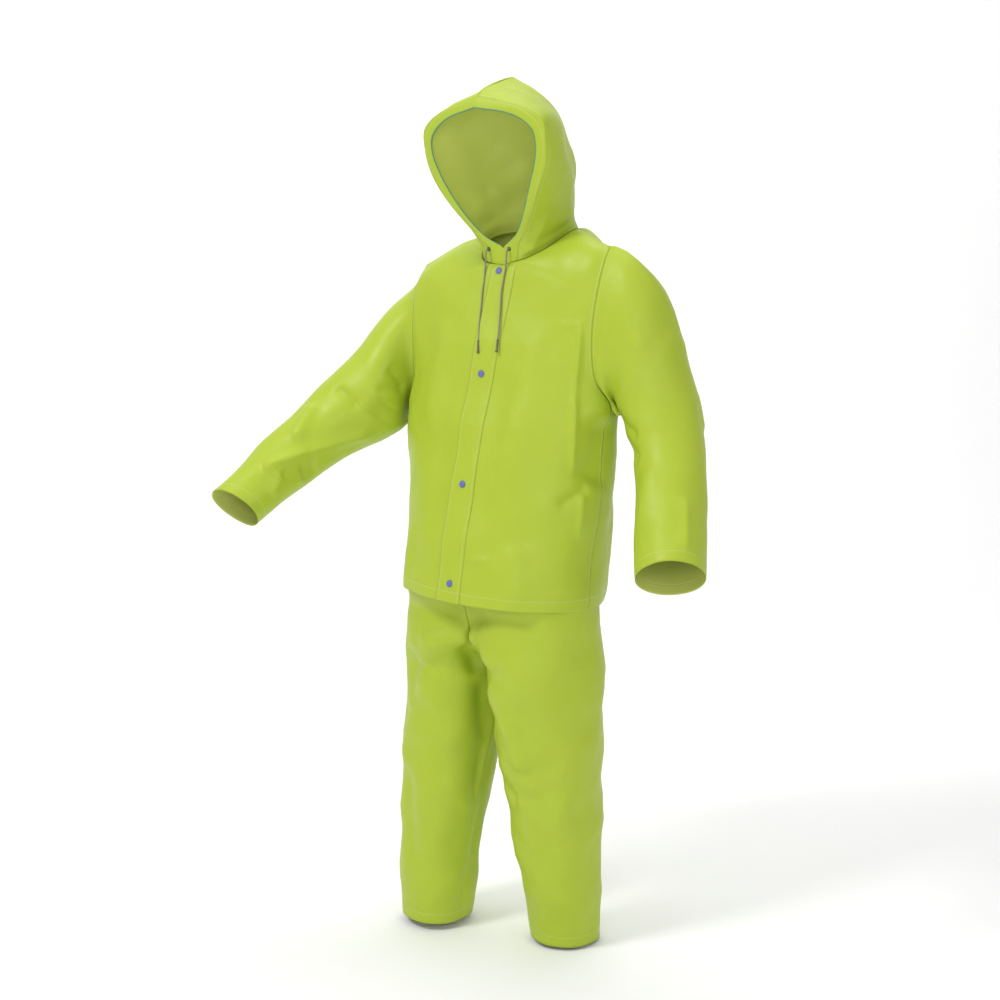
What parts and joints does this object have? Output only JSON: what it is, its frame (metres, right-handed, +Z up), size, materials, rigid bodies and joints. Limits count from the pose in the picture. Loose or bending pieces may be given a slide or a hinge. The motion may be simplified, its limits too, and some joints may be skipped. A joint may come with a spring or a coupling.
{
  "type": "rain suit",
  "caption": "Lime-green two-piece rain suit with a drawstring hood, a snap-fastened front flap and loose trousers, open inside as when worn.",
  "frame": {"origin": "between the wearer's shoulders, in front of the spine, at the height of the foot of the hood's opening; the wearer's shoulders hold the jacket there", "axes": "+Z up, the wearer faces -Y, the wearer's left side is at +X"},
  "size_m": [1.0297, 0.5999, 1.8014],
  "materials": {
    "cloth": "satin coated film, lime green",
    "snap": "satin, blue-grey",
    "eyelet": "satin, dark grey-green",
    "cord": "matt, grey-tan braid",
    "tip": "satin, dark brown-grey"
  },
  "bodies": {
    "root": {"front_left": "cloth", "front_right": "cloth", "back": "cloth", "sleeve_left": "cloth", "sleeve_right": "cloth", "hood_left": "cloth", "hood_right": "cloth", "leg_left": "cloth", "leg_right": "cloth", "waistband": "cloth", "placket": "cloth", "hood_casing": "cloth", "snap_1": "snap", "snap_2": "snap", "snap_3": "snap", "snap_4": "snap", "eyelet_left": "eyelet", "eyelet_right": "eyelet", "drawstring_left": "cord", "drawstring_right": "cord", "cord_tip_left": "tip", "cord_tip_right": "tip"}
  },
  "joints": []
}
